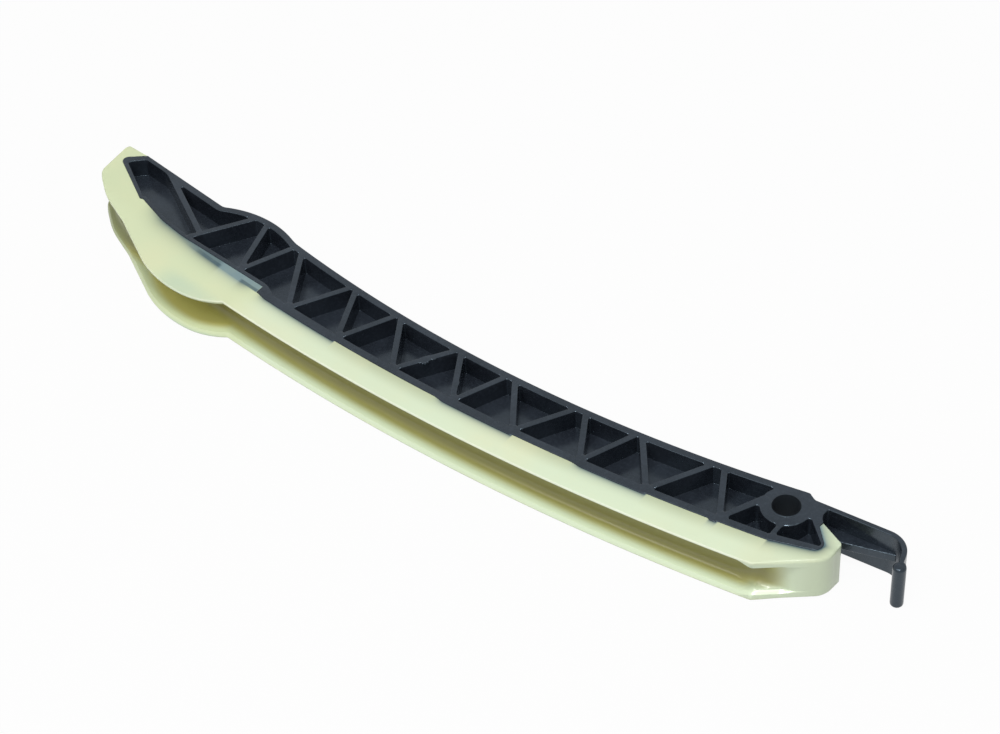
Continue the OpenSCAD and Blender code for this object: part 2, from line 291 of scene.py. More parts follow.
# Shader maths
class Wire:
    # wraps one socket, so that sums on values read as Python
    def __init__(self, tree, socket=None):
        self.tree, self.socket = tree, socket

    def add(self, kind, settings, values, out=0):
        # any node: its type, its settings first, then the values or links of its sockets
        node = self.tree.nodes.new("ShaderNode" + kind)
        for name, value in settings.items():
            setattr(node, name, value)
        for name, value in values.items():
            if isinstance(value, Wire):
                self.tree.links.new(value.socket, node.inputs[name])
            else:
                node.inputs[name].default_value = value
        return Wire(self.tree, node.outputs[out])

    def maths(self, operation, a, b=0.0):
        return self.add("Math", {"operation": operation}, {0: a, 1: b})

    def __add__(self, other):
        return self.maths("ADD", self, other)

    def __sub__(self, other):
        return self.maths("SUBTRACT", self, other)

    def __rsub__(self, other):
        return self.maths("SUBTRACT", other, self)

    def __mul__(self, other):
        return self.maths("MULTIPLY", self, other)

    def __pow__(self, other):
        return self.maths("POWER", self, other)

    __radd__, __rmul__ = __add__, __mul__

    def high(self, other):  # the larger of two values
        return self.maths("MAXIMUM", self, other)

    def ramp(self, low, high):  # smooth step from 0 at low to 1 at high
        return self.add("MapRange", {"interpolation_type": "SMOOTHSTEP"},
                        {"Value": self, "From Min": low, "From Max": high})

    def fading(self, length):  # 1 at and below 0, falling away with distance
        return self.maths("EXPONENT", self.high(0.0) * (-1.0 / length))

    def band(self, low, high, soft):  # 1 between low and high, fading over soft at both ends
        return self.ramp(low - soft, low + soft) * (1.0 - self.ramp(high - soft, high + soft))

    def pick(self, a, b):  # value a where this value is 0, value b where it is 1
        return (1.0 - self) * a + self * b

    def noise(self, scale, detail, rough=0.5):
        values = {"Vector": self, "Scale": scale, "Detail": detail, "Roughness": rough}
        return self.add("TexNoise", {}, values)

    def blend(self, a, b):  # colour a where this value is 0, colour b where it is 1
        return self.add("Mix", {"data_type": "RGBA"}, {0: self, 6: a, 7: b}, 2)


def plastic(name, settings):
    # a material with one Principled shader; returns it, the shader and a Wire on Object coordinates
    material = bpy.data.materials.new(name)
    material.use_nodes = True
    tree = material.node_tree
    shader = tree.nodes["Principled BSDF"]
    for socket, value in settings.items():
        shader.inputs[socket].default_value = value
    spot = Wire(tree).add("TexCoord", {}, {}, "Object")
    return material, shader, spot


def inMillimetres(spot):  # the three Object coordinates as values in millimetres
    parts = [spot.add("SeparateXYZ", {}, {"Vector": spot}, axis) for axis in "XYZ"]
    return [part * 1000.0 for part in parts]


def distanceTo(x, y, centre):  # distance in plan from a centre
    return ((x - centre[0]) ** 2.0 + (y - centre[1]) ** 2.0) ** 0.5


def belowLine(x, y, a, b):  # distance in plan below the line from a to b
    slope = (b[1] - a[1]) / (b[0] - a[0])
    return (x * slope - y + float(a[1] - slope * a[0])) * (1.0 / math.hypot(1.0, slope))


def feed(shader, socket, wire):  # links a value or colour to one of the shader's sockets
    wire.tree.links.new(wire.socket, shader.inputs[socket])


def addBump(shader, height, strength, distance):
    values = {"Height": height, "Strength": strength, "Distance": distance}
    feed(shader, "Normal", height.add("Bump", {}, values))


# Black glass-filled nylon
blackNylon = {
    "deep": (0.0125, 0.0155, 0.0215, 1.0), "bloom": (0.029, 0.036, 0.048, 1.0),
    # bore is the colour of the painted shade inside the bore, blended in by boreShade
    "bore": (0.003, 0.0035, 0.005, 1.0), "boreShade": 0.85, "boreRough": 0.5,
    "cloud": 55.0, "fibre": 900.0, "glitter": 2600.0,  # how fine each pattern is, per metre
    "rough": 0.14, "bump": 0.13, "bumpHeight": 0.00006,
}


def blackMaterial():  # cloudy bloom, fibres and fine glitter; painted shade and more roughness inside the bore
    material, shader, spot = plastic("black glass-filled nylon",
                                     {"IOR": 1.6, "Specular Tint": (0.66, 0.85, 1.0, 1.0)})
    cloud = spot.noise(blackNylon["cloud"], 4.0).ramp(0.35, 0.7)
    fibre = spot.noise(blackNylon["fibre"], 3.0, 0.6)
    glitter = spot.noise(blackNylon["glitter"], 2.0)
    mix = cloud * 0.55 + fibre.ramp(0.4, 0.75) * 0.45
    x, y = inMillimetres(spot)[:2]
    inBore = 1.0 - distanceTo(x, y, (0.0, 0.0)).ramp(rail["bore"] + 0.05, rail["bore"] + 0.3)
    colour = mix.blend(blackNylon["deep"], blackNylon["bloom"])
    # painted shade: the base colour turns darker inside the bore
    feed(shader, "Base Color", (inBore * blackNylon["boreShade"]).blend(colour, blackNylon["bore"]))
    rough = blackNylon["rough"] + cloud * 0.08 + fibre * 0.08
    feed(shader, "Roughness", rough + inBore * blackNylon["boreRough"])
    addBump(shader, fibre * 0.7 + glitter * 0.3, blackNylon["bump"], blackNylon["bumpHeight"])
    return material


# Sizes of the slide shoe
shoe = {
    "inset": 0.2, "edge": 0.45, "seamEdge": 0.12, "flange": 1.8, "leadIn": 1.0, "root": 2.6,
    "noseEdge": 1.1, "noseFlange": 3.0, "noseLead": 1.8, "noseRoot": 4.7,
    "earX": 221.0, "earDrop": 6.6, "earNear": 27.0, "earFar": 48.0, "earEnds": (242.0, 312.0),
    "tailFlange": [(0.7, 19.2), (9.0, 24.6), (22.7, 28.9)], "flangeRounds": [30.0, 40.0, 3.0],
    "tipCap": [(0.7, 0.6), (0.0, 2.4), (1.5, 15.4), (2.4, 17.2)], "capRounds": [1.0, 1.8, 3.0, 5.0],
    "tipWall": 4.0, "tipChannel": 4.0, "tipChannelX": 242.0, "tipChannelRun": 22.0, "tipChannelDrop": 15.0,
    "noseX": 22.2, "noseRadius": 7.5, "noseCorner": 1.5, "noseBack": 4.6, "noseStart": 4.0,
    "noseRound": 4.0, "bowTurn": (-55.0, 0.0), "cornerTurn": (0.0, 66.0),
}


# Cream natural nylon: its tints and patterns, with painted shade in the channel and a painted highlight
# along the flange's edge, then where they begin and end, in millimetres
creamNylon = {
    "open": (0.73, 0.84, 0.615, 1.0), "seam": (0.5, 0.565, 0.37, 1.0), "tail": (0.69, 0.775, 0.49, 1.0),
    "ear": (0.555, 0.69, 0.51, 1.0), "film": (0.03, 0.08, 0.11, 1.0), "paleFilm": (0.185, 0.28, 0.305, 1.0),
    # painted shade inside the channel: the channel and olive tints below
    "channel": (0.285, 0.27, 0.1, 1.0), "oliveShade": (0.66, 0.63, 0.22, 1.0),
    # painted shade: tipWall, on the wall at the tip; painted highlight: edge, along the upper flange's
    # rounded edge
    "tipWall": (0.3, 0.335, 0.15, 1.0), "edge": (0.97, 0.98, 0.84, 1.0), "warm": (0.83, 0.8, 0.5, 1.0),
    "cloud": 32.0, "speck": 420.0, "wisp": 190.0, "mottle": 24.0,  # how fine each pattern is, per metre
    "stripFade": 1.85, "lipFade": 2.4, "keyFade": 1.22, "lobeFade": 1.1,
    "rough": 0.15, "bump": 0.12, "bumpHeight": 0.00008,
}
creamPlaces = {
    "seam": (-0.8, 6.5), "tail": (-205.0, -190.0), "upperSide": (15.4, 16.4), "lowerSide": (0.6, 1.6),
    "ears": (-231.0, -205.0), "pastFlange": (-2.5, 4.0), "noseSide": (-8.0, 12.0),
    # these three lines place the painted shade in the channel and at the tip
    "flanges": (1.75, 15.25), "floor": (-1.6, -0.8), "oliveShade": (1.8, 5.4), "brownShadeAndDarkBack": (-0.3, 3.4),
    "noseStart": (-1.0, 5.0), "noseEnd": (3.0, 14.0), "noseFlanges": (3.8, 13.2),
    "underTip": (14.5, 17.5), "tipEnd": (-262.0, -255.0), "tipLow": (0.5, 2.0), "tipFade": (-276.0, -252.0),
    # where the painted highlight along the upper flange's rounded edge lies
    "edgeHighlight": (-240.0, 2.0), "edgeHighlightMore": (-212.0, -200.0), "edgeHighlightTop": (16.0, 16.4), "edgeHighlightWide": (0.2, 0.5),
    "lip": (-264.0, -249.0), "strip": (-242.0, -228.0), "stripTop": (-0.2, 0.4), "stripEnd": 8.0,
    "darkStrips": [(-230.5, -218.5), (-208.0, -197.5)], "darkTop": (-1.5, -1.0), "pale": (-220.5, -217.5),
    "lobe": (-2.8, -1.6), "tongue": (-8.6, -6.4), "paleTongue": (-9.0, -5.0),
}


def belowLobe(x, y):  # distance from the seam: under the straight, round the lobe and along its tongue
    radius = rail["lobeRadius"]
    lobe = np.array([rail["lobeX"] - radius, -rail["lobeDrop"]])
    lobeStart = lobe + radius * np.array([0.26, -0.97])  # about the two ends of the lobe's arc
    lobeEnd = lobe + radius * np.array([0.79, 0.61])
    straight = belowLine(x, y, (rail["postX"], float(frontY(rail["postX"]))), lobeStart)
    roundLobe = x.ramp(*(rail["lobeX"] + side for side in creamPlaces["lobe"]))
    below = roundLobe.pick(straight, distanceTo(x, y, lobe) - radius)
    besideTongue = 0.0 - belowLine(x, y, rail["neckFoot"], lobeEnd)
    return y.ramp(*creamPlaces["tongue"]).pick(below, besideTongue)


def overKey(x, middle, length):  # 1 over one key of the seam
    start, end = -middle - length / 2, -middle + length / 2
    return x.ramp(start, start + keyRun(length)) * (1.0 - x.ramp(end - 0.5, end + 0.3))


def insideEar(x, y):  # distance inside the ear's free edge, which is two arcs that meet at its lowest point
    low = float(flangeY(-shoe["earX"])) - shoe["earDrop"]
    far = shoe["earFar"] - distanceTo(x, y, (-shoe["earX"], low + shoe["earFar"]))
    near = shoe["earNear"] - distanceTo(x, y, (-shoe["earX"], low + shoe["earNear"]))
    return x.ramp(-shoe["earX"] - 0.1, -shoe["earX"] + 0.1).pick(far, near)


def belowLip(x, y):  # distance below the lip along the tail: the most below any of its straights
    tip = fromTip(rail["tipRadius"] * 0.2, rail["tipDepth"] + rail["tipRadius"] * 0.85)
    path = np.vstack([tip[None], tailFront[:1], tailFront[2:]])
    below, *others = [belowLine(x, y, a, b) for a, b in zip(path, path[1:])]
    for line in others:
        below = below.high(line)
    return below


def creamMaterial():
    material, shader, spot = plastic("cream natural nylon", {"IOR": 1.53})
    x, y, z = inMillimetres(spot)
    places = creamPlaces
    fromFloor = distanceTo(x, y, (-rail["frontLow"], flangeCentreY)) - floorRadius
    fromFront = distanceTo(x, y, (-rail["frontLow"], frontCentreY)) - rail["frontRadius"]
    fromLobe = belowLobe(x, y)
    cloud = spot.noise(creamNylon["cloud"], 3.0)
    speck = spot.noise(creamNylon["speck"], 2.0)
    wisp = spot.noise(creamNylon["wisp"], 3.0, 0.6)
    # body: darker towards the seam, yellower on the tail, cooler where the ears stand free, faintly mottled
    onNose = x.ramp(rail["postX"] - 0.5, rail["postX"] + 0.5)
    overKeys = sum(overKey(x, *key) for key in rail["keys"])
    fromSeam = onNose.pick(fromFront, fromLobe)
    nearSeam = (1.0 - fromSeam.ramp(*places["seam"])) * (1.0 - overKeys * 0.7) + (cloud - 0.5) * 0.3
    colour = nearSeam.blend(creamNylon["open"], creamNylon["seam"])
    onTail = 1.0 - x.ramp(*places["tail"])
    colour = (onTail * 0.9).blend(colour, creamNylon["tail"])
    side = z.ramp(*places["upperSide"]) + (1.0 - z.ramp(*places["lowerSide"]))
    pastFlange = (fromFloor - rail["channelDepth"]).ramp(*places["pastFlange"])
    onEar = pastFlange * x.band(*places["ears"], 6.0)
    cool = side * (onEar * 0.8 + x.ramp(*places["noseSide"]) * 0.3)
    colour = cool.blend(colour, creamNylon["ear"])
    mottle = spot.noise(creamNylon["mottle"], 2.0).ramp(0.42, 0.68) * 0.3 + wisp.ramp(0.45, 0.75) * 0.08
    colour = (side * mottle).blend(colour, creamNylon["warm"])
    # painted shade in the channel: olive inside the flanges' edges, brown at the floor, where the black
    # behind the thin floor also shows through, darker at the tip, clear of the nose
    fromEdge = (rail["channelDepth"] - fromFloor).high(insideEar(x, y))
    belowBack = belowLine(x, y, fromTip(0.0, 0.0), fromTip(30.0, 0.0))
    underTip = belowBack.ramp(*places["underTip"]) * (1.0 - x.ramp(*places["tipEnd"]))
    channelShade = z.band(*places["flanges"], 0.2) * (1.0 - x.ramp(*places["noseEnd"]))
    channelShade = channelShade * fromFloor.ramp(*places["floor"]).high(underTip)
    offNose = 1.0 - z.band(*places["noseFlanges"], 0.9)
    channelShade = channelShade * (1.0 - x.ramp(*places["noseStart"]) * offNose)
    # painted shade: olive on the flanges' inner faces, then brown at the floor
    colour = (channelShade * fromEdge.ramp(*places["oliveShade"])).blend(colour, creamNylon["oliveShade"])
    colour = (channelShade * (1.0 - fromFloor.ramp(*places["brownShadeAndDarkBack"]))).blend(colour, creamNylon["channel"])
    # painted shade on the tip's wall and under the tip
    tipShade = channelShade + z.band(*places["tipLow"], 0.2) * underTip * 0.8
    tipShade = tipShade * (1.0 - x.ramp(*places["tipFade"]))
    colour = (tipShade * 0.75).blend(colour, creamNylon["tipWall"])
    # painted highlight: a pale line along the upper flange's rounded edge
    atEdge = (1.0 - fromEdge.ramp(*places["edgeHighlightWide"])) * z.ramp(*places["edgeHighlightTop"])
    atEdge = atEdge * x.band(*places["edgeHighlight"], 8.0)
    colour = (atEdge * (0.25 + x.ramp(*places["edgeHighlightMore"]) * 0.2)).blend(colour, creamNylon["edge"])
    # film: thin cream over the black, along the lip, over the keys and round the lobe
    onLip = x.ramp(*places["lip"]) * (1.0 - x.ramp(-rail["lipX"] - 0.4, -rail["lipX"] + 0.4))
    overStrip = x.ramp(*places["strip"])
    inStrip = 1.0 - fromFront.ramp(*places["stripTop"])
    softEnd = 1.0 - x.ramp(-rail["lipX"] - places["stripEnd"], -rail["lipX"])
    stripFilm = inStrip + (1.0 - inStrip) * softEnd * fromFront.fading(creamNylon["stripFade"])
    edgeFilm = belowLip(x, y).fading(creamNylon["lipFade"])
    lipFilm = onLip * overStrip.pick(edgeFilm, stripFilm)
    keyFilm = overKeys * (fromFront - rail["keyRise"]).fading(creamNylon["keyFade"])
    lobeFilm = onNose * (fromLobe - 0.2).fading(creamNylon["lobeFade"])
    film = side * (lipFilm + keyFilm + lobeFilm) * (0.85 + wisp * 0.2)
    dark = fromFront.ramp(*places["darkTop"]) * sum(x.band(*strip, 0.8) for strip in places["darkStrips"])
    pale = onLip * overStrip * (0.3 + wisp * 0.2 + x.ramp(*places["pale"]) * 0.6) * (1.0 - dark * 0.8)
    pale = pale + onNose * y.ramp(*places["paleTongue"]) * 0.9
    colour = film.blend(colour, pale.blend(creamNylon["film"], creamNylon["paleFilm"]))
    feed(shader, "Base Color", colour)
    feed(shader, "Roughness", creamNylon["rough"] + cloud * 0.07 + speck * 0.07)
    addBump(shader, speck * 0.6 + cloud * 0.4, creamNylon["bump"], creamNylon["bumpHeight"])
    return material


# Carrier: rims, ribs, web, boss and hook arm in one moulding
carrier = {
    "edge": 0.3, "seamEdge": 0.26, "boreEdge": 0.35, "beadEdge": 1.0, "beadTop": 0.6,
    "pocketEdge": 0.24, "pocketCorner": 0.55, "bossCorner": 0.9, "floorFillet": 0.05, "draft": 0.12,
    "cornerFacet": 0.3, "bossFacet": 0.42, "facetTurn": -55.0, "facetSpread": 30.0, "facetSlope": 30.0,
    "backRim": 2.6, "frontRim": 2.7, "tailRim": 1.6, "rimRamp": (-200.5, -192.5), "rib": 2.1, "post": 1.7,
    "feet": [14.2, 39.5, 63.6, 89.0, 113.0, 138.3, 162.6, 185.6, 211.9, 238.3],
    "tops": [26.3, 54.4, 76.0, 103.5, 125.1, 152.0, 173.3, 201.8, 222.0],
    "gaps": [3.6, 2.0, 3.5, 3.0, 1.6, 1.8, 1.8, 3.5, 5.0], "headLeast": 1.9,
    "tailRib": 20.4, "tailFoot": (2.3, 4.3), "tailPoint": 2.6, "tailBack": 1.8, "tailSlantIn": 1.2,
    "tailCorner": 12.0, "tailEndCorners": (1.0, 0.8),
    "bossFoot": 1.0, "bossBeside": (178.0, 148.0), "bossUnder": 207.0,
    "noseLow": -11.9, "nosePoint": (17.9, -8.1), "noseTop": 5.0,
    "shoulder": (2.9, 7.6), "shoulderRadius": 1.2, "shoulderTurn": (40.0, 100.0),
    "shoulderFoot": 5.9, "footRound": 1.6,
    "armTop": 6.8, "armSlope": 4.4, "armWall": 1.7, "hookX": 32.2, "hookRadius": 8.5,
    "legTurn": 17.0, "legLength": 5.0, "bead": 2.1,
    "pocketEnd": [(11.8, 1.9), (11.2, 3.4)], "pocketEndRounds": (1.0, 1.0, 0.8),
    "shelfSlope": 16.0, "shelfReach": 35.05, "shelfEnd": (35.3, 7.7),
    "shelfRoot": [(10.6, 2.6), (11.9, 0.9)], "shelfEdge": 0.15, "shelfRagged": 0.35,
    "burrs": [(-131.4, -11.5, 2.0, 1.15), (-129.6, -9.0, 1.2, 0.45), (-132.5, -9.6, 2.4, 0.5),
              (-116.3, -13.5, 1.2, 0.3), (-115.8, -17.0, 1.2, 0.35)],  # place, radius and how far out
    "burrDrop": 1.8,
}


def seamPath():  # tip to neck along the carrier's front, where the shoe is moulded on
    slant = fromTip(rail["tipSlant"], 0.0)
    tip = arcPath(fromTip(rail["tipRadius"], rail["tipDepth"]), rail["tipRadius"], *rail["tipTurn"])
    tail = roundCorners(np.vstack([tip[-1:], tailFront]), [0.0, *rail["tailRounds"], 0.0])
    x = np.arange(-rail["lipX"], rail["postX"], 0.35)
    lift = keyLift(x) * rail["keyRise"]
    front = np.column_stack([x, frontY(x) - lift])
    lobeCentre = (rail["lobeX"] - rail["lobeRadius"], -rail["lobeDrop"])
    lobe = arcPath(lobeCentre, rail["lobeRadius"], *rail["lobeTurn"])
    ends = np.array([rail["neckFoot"], rail["neck"]])
    return np.vstack([slant[None], tip, tail[1:], front, lobe, ends])


def armY(x):  # straight outside of the hook arm
    return carrier["armTop"] + math.tan(math.radians(carrier["armSlope"])) * x


def armPath():  # neck, inside of the arm, hook, bead, outside of the arm, and the top of the boss
    slope, turn, wall = carrier["armSlope"], carrier["legTurn"], carrier["armWall"]
    radius = carrier["hookRadius"]
    rise = math.radians(slope)
    bendX = carrier["hookX"]
    centre = np.array([bendX, armY(bendX - radius * math.sin(rise)) - radius * math.cos(rise)])
    leg = np.array([math.sin(math.radians(turn)), -math.cos(math.radians(turn))])
    out = np.array([math.cos(math.radians(turn)), math.sin(math.radians(turn))])
    inner = arcPath(centre, radius - wall, 90.0 + slope, turn)
    outer = arcPath(centre, radius, turn, 90.0 + slope)
    beadCentre = centre + (radius - wall / 2) * out + carrier["legLength"] * leg
    facing = turn + 270.0
    halfTurn = 180.0 - math.degrees(math.asin(wall / 2 / carrier["bead"]))
    bead = arcPath(beadCentre, carrier["bead"], facing - halfTurn, facing + halfTurn, 0.25)
    wallIn = carrier["pocketEnd"][1][0]
    corner = np.array([wallIn, armY(wallIn) - wall / math.cos(rise)])
    bends = [rail["neck"], *carrier["pocketEnd"], corner, inner[0]]
    start = roundCorners(bends, [0.0, *carrier["pocketEndRounds"], 0.0])
    shoulder = arcPath(carrier["shoulder"], carrier["shoulderRadius"], *carrier["shoulderTurn"], 0.25)
    foot = [carrier["shoulderFoot"], armY(carrier["shoulderFoot"])]
    step = roundCorners([outer[-1], foot, shoulder[0]], [0.0, carrier["footRound"], 0.0])
    return np.vstack([start[1:], inner[1:], bead, outer, step[1:], shoulder[1:]])


def carrierOutline():  # anticlockwise: seam, arm, then the back edge from the boss to the tip
    seam = seamPath()
    arm = armPath()
    backX = np.arange(arm[-1, 0] - 1.0, -rail["reach"] + rail["tipSlant"] + 0.3, -0.8)
    back = np.column_stack([backX, topY(backX)])
    path = np.vstack([seam, arm, back])
    onSeam = np.arange(len(path)) < len(seam)
    keep = apart(path)
    return path[keep], onSeam[keep]


def topIn(x):  # inside of the back rim
    return topY(x) - carrier["backRim"]


def lensTop(x):  # inside of the thinner back rim behind the tail's pocket
    return topY(x) - carrier["tailBack"]


def bottomIn(x):  # inside of the front rim, thinner behind the shoe's lip
    x = np.asarray(x, float)
    tip = fromTip(rail["tipRadius"], rail["tipDepth"] + rail["tipRadius"])
    outline = np.vstack([tip[None], tailFront])
    tail = np.interp(x, outline[:, 0], outline[:, 1]) + carrier["tailRim"]
    start, end = carrier["rimRamp"]
    ramp = smooth((x - start) / (end - start))
    return tail * (1.0 - ramp) + (frontY(x) + carrier["frontRim"]) * ramp


def alongCurve(curve, startX, endX):  # points on a curve y = f(x) from one x to another
    x = np.linspace(startX, endX, max(3, int(abs(endX - startX) / 1.2)))
    return np.column_stack([x, curve(x)])


def ribEdge(foot, top, side):  # one side of a rib, as two points; side 1 is its pivot side
    along = (top - foot) / np.linalg.norm(top - foot)
    shift = np.array([along[1], -along[0]]) * side * carrier["rib"] / 2
    return foot + shift, top + shift


def footPoint(i):  # where the middle lines of two ribs meet in the front rim
    x = -carrier["feet"][i]
    return np.array([x, float(bottomIn(x)) - carrier["frontRim"] / 3])


def topPoint(i, side):  # where a rib's middle line ends in the back rim; side 1 is nearer the pivot
    x = -carrier["tops"][i - 1] + side * carrier["gaps"][i - 1] / 2
    return np.array([x, float(topY(x)) - carrier["backRim"] / 2])


def upperPocket(left, right):  # wide at the back rim, between two ribs that share a foot
    low = crossing(*left, *right)
    topLeft = meet(low, left[1], topIn)
    topRight = meet(low, right[1], topIn)
    return [np.array([low, topRight]), alongCurve(topIn, topRight[0], topLeft[0]), np.array([topLeft, low])]


def lowerPocket(left, right):  # wide at the front rim, between two ribs that share a top
    lowLeft = meet(left[1], left[0], bottomIn)
    lowRight = meet(right[1], right[0], bottomIn)
    sill = alongCurve(bottomIn, lowLeft[0], lowRight[0])
    headLeft = meet(left[0], left[1], topIn)
    headRight = meet(right[0], right[1], topIn)
    if headRight[0] - headLeft[0] > carrier["headLeast"]:  # a narrower pocket comes to a point
        return [sill, np.array([lowRight, headRight]), alongCurve(topIn, headRight[0], headLeft[0]),
                np.array([headLeft, lowLeft])]
    apex = crossing(*left, *right)
    return [sill, np.array([lowRight, apex]), np.array([apex, lowLeft])]


def besideBoss(foot, bossFoot):  # between the first rib pair, the boss and the back rim
    left = ribEdge(foot, topPoint(1, 1), 1)
    right = ribEdge(foot, bossFoot, -1)
    low = crossing(*left, *right)
    topLeft = meet(low, left[1], topIn)
    onBoss = arcPath((0.0, 0.0), rail["boss"], *carrier["bossBeside"])
    roof = alongCurve(topIn, onBoss[-1, 0], topLeft[0])
    onBoss[-1] = roof[0]
    return [np.array([low, onBoss[0]]), onBoss, roof, np.array([topLeft, low])]


def underBoss(foot, bossFoot):  # the two small pockets either side of the post
    boss = rail["boss"]
    postLeft, postRight = (rail["postX"] + s * carrier["post"] / 2 for s in (-1, 1))
    right = ribEdge(foot, bossFoot, 1)
    lowLeft = meet(right[1], right[0], bottomIn)
    sill = alongCurve(bottomIn, lowLeft[0], postLeft)
    atPost = 360.0 - math.degrees(math.acos(postLeft / boss))
    onBoss = arcPath((0.0, 0.0), boss, atPost, carrier["bossUnder"])
    near = [sill, np.array([sill[-1], onBoss[0]]), onBoss, np.array([onBoss[-1], lowLeft])]
    onBoss = arcPath((0.0, 0.0), boss, carrier["noseTop"], -math.degrees(math.acos(postRight / boss)))
    low, point = np.array([postRight, carrier["noseLow"]]), np.array(carrier["nosePoint"])
    far = [np.array([low, point]), np.array([point, onBoss[0]]), onBoss, np.array([onBoss[-1], low])]
    return [near, far]


def tailPocket(lastRib, tailFoot, tailTop):  # pointed pocket of the tail, left of the long rib
    ribLow, ribHigh = ribEdge(tailFoot, tailTop, -1)
    lowRight = meet(lastRib[1], lastRib[0], bottomIn)
    fork = crossing(*lastRib, ribLow, ribHigh)
    topRight = meet(ribLow, ribHigh, lensTop)
    roof = alongCurve(lensTop, topRight[0], -rail["reach"] + rail["tipSlant"] + carrier["tailSlantIn"])
    sill = alongCurve(bottomIn, -rail["reach"] + carrier["tailPoint"], lowRight[0])
    end = np.array([roof[-1], sill[0]])
    return [np.array([lowRight, fork]), np.array([fork, topRight]), roof, end, sill]


def shiftPath(path, distance):  # open path moved to its left, with mitred bends
    side = unit(np.diff(path, axis=0))
    normal = np.column_stack([-side[:, 1], side[:, 0]])
    first = np.vstack([normal[:1], normal])
    last = np.vstack([normal, normal[-1:]])
    return path + distance * (first + last) / (1.0 + (first * last).sum(axis=1))[:, None]


def pathCrossing(a, b):  # last point of path a that lies on path b
    p, r = a[:-1, None], np.diff(a, axis=0)[:, None]
    q, s = b[None, :-1], np.diff(b, axis=0)[None]
    slew = across(r, s)
    slew = np.where(np.abs(slew) < 1e-12, 1e-12, slew)
    t = across(q - p, s) / slew
    u = across(q - p, r) / slew
    hit = np.argwhere((t >= 0) & (t <= 1) & (u >= 0) & (u <= 1))[-1]
    return a[hit[0]] + np.diff(a, axis=0)[hit[0]] * t[hit[0], hit[1]]


def nearestOn(path, point):  # foot of a point on a path, and its distance along the path
    side = np.diff(path, axis=0)
    length = np.linalg.norm(side, axis=1)
    t = np.clip(((point - path[:-1]) * side).sum(axis=1) / length ** 2, 0.0, 1.0)
    foot = path[:-1] + side * t[:, None]
    best = np.argmin(np.linalg.norm(foot - point, axis=1))
    return foot[best], length[:best].sum() + length[best] * t[best]


def filletSides(sides, radii):
    # joins a pocket's sides with arcs, centred where both sides, moved in by the radius, cross
    arcs, ends, starts = [], [], []
    for a, b, radius in zip(sides, sides[1:] + sides[:1], radii):
        turn = np.sign(across(a[-1] - a[-2], b[1] - b[0]))
        centre = pathCrossing(shiftPath(a, turn * radius), shiftPath(b, turn * radius))
        footA, alongA = nearestOn(a, centre)
        footB, alongB = nearestOn(b, centre)
        start = math.atan2(*(footA - centre)[::-1])
        sweep = (math.atan2(*(footB - centre)[::-1]) - start) % (2 * math.pi)
        sweep = sweep if turn > 0 else sweep - 2 * math.pi
        angle = start + sweep * np.linspace(0.0, 1.0, 9)
        arcs.append(centre + radius * np.column_stack([np.cos(angle), np.sin(angle)]))
        ends.append(alongA)
        starts.append(alongB)
    parts = []
    for k, side in enumerate(sides):
        along = np.concatenate([[0.0], np.cumsum(np.linalg.norm(np.diff(side, axis=0), axis=1))])
        between = (along > starts[k - 1] + 0.05) & (along < ends[k] - 0.05)
        parts += [side[between], arcs[k]]
    return dropRepeats(np.vstack(parts))


def pocketLoops():  # every pocket of one side, as closed anticlockwise paths with rounded corners
    feet = [footPoint(i) for i in range(len(carrier["feet"]))]
    last = len(feet) - 1
    tailTop = fromTip(carrier["tailRib"], carrier["backRim"] / 2)
    tailFoot = feet[last] + np.array(carrier["tailFoot"])
    bossFoot = np.array([-rail["boss"], carrier["bossFoot"]])
    pockets = [besideBoss(feet[0], bossFoot), *underBoss(feet[0], bossFoot)]
    for j in range(1, last + 1):
        left = ribEdge(tailFoot, tailTop, 1) if j == last else ribEdge(feet[j], topPoint(j + 1, 1), 1)
        right = ribEdge(feet[j], topPoint(j, -1), -1)
        pockets.append(upperPocket(left, right))
    for i in range(1, last + 1):
        left = ribEdge(feet[i], topPoint(i, -1), 1)
        right = ribEdge(feet[i - 1], topPoint(i, 1), -1)
        pockets.append(lowerPocket(left, right))
    corner = carrier["pocketCorner"]
    radii = [corner, carrier["bossCorner"], carrier["bossCorner"]] + [corner] * len(pockets)
    loops = [filletSides(sides, [radius] * len(sides)) for sides, radius in zip(pockets, radii)]
    tail = tailPocket(ribEdge(feet[last], topPoint(last, -1), -1), tailFoot, tailTop)
    loops.append(filletSides(tail, [corner, carrier["tailCorner"], *carrier["tailEndCorners"], corner]))
    return [splitLong(loop, 0.9) for loop in loops]


def burr(plan):  # how far the ragged flash on the rib tops stands out at plan points
    out = np.zeros(plan.shape[:-1])
    for x, y, radius, most in carrier["burrs"]:
        away = np.hypot(plan[..., 0] - x, plan[..., 1] - y) / radius
        ragged = 0.7 + 0.3 * np.sin(plan[..., 0] * 7.0 + plan[..., 1] * 4.0)
        out = np.maximum(out, most * ragged * np.clip(1.4 - 1.4 * away, 0.0, 1.0))
    return out


def facets(path):  # width of the worn facet along a pocket's rim: at sharp corners and under the boss
    ahead = np.roll(path, -1, axis=0) - path
    behind = path - np.roll(path, 1, axis=0)
    length = np.linalg.norm(ahead, axis=1) * np.linalg.norm(behind, axis=1)
    bend = np.arcsin(np.clip(across(behind, ahead) / length, -1.0, 1.0)) / np.sqrt(length)
    corner = carrier["cornerFacet"] * smooth((bend - 0.5) / 0.8)
    away = np.hypot(path[:, 0], path[:, 1])
    facing = np.degrees(np.arctan2(path[:, 1], path[:, 0])) - carrier["facetTurn"]
    spread = smooth((carrier["facetSpread"] - np.abs(facing)) / 12.0)
    boss = smooth((rail["boss"] + 0.9 - away) / 0.6) * spread
    return np.maximum(corner, carrier["bossFacet"] * boss)


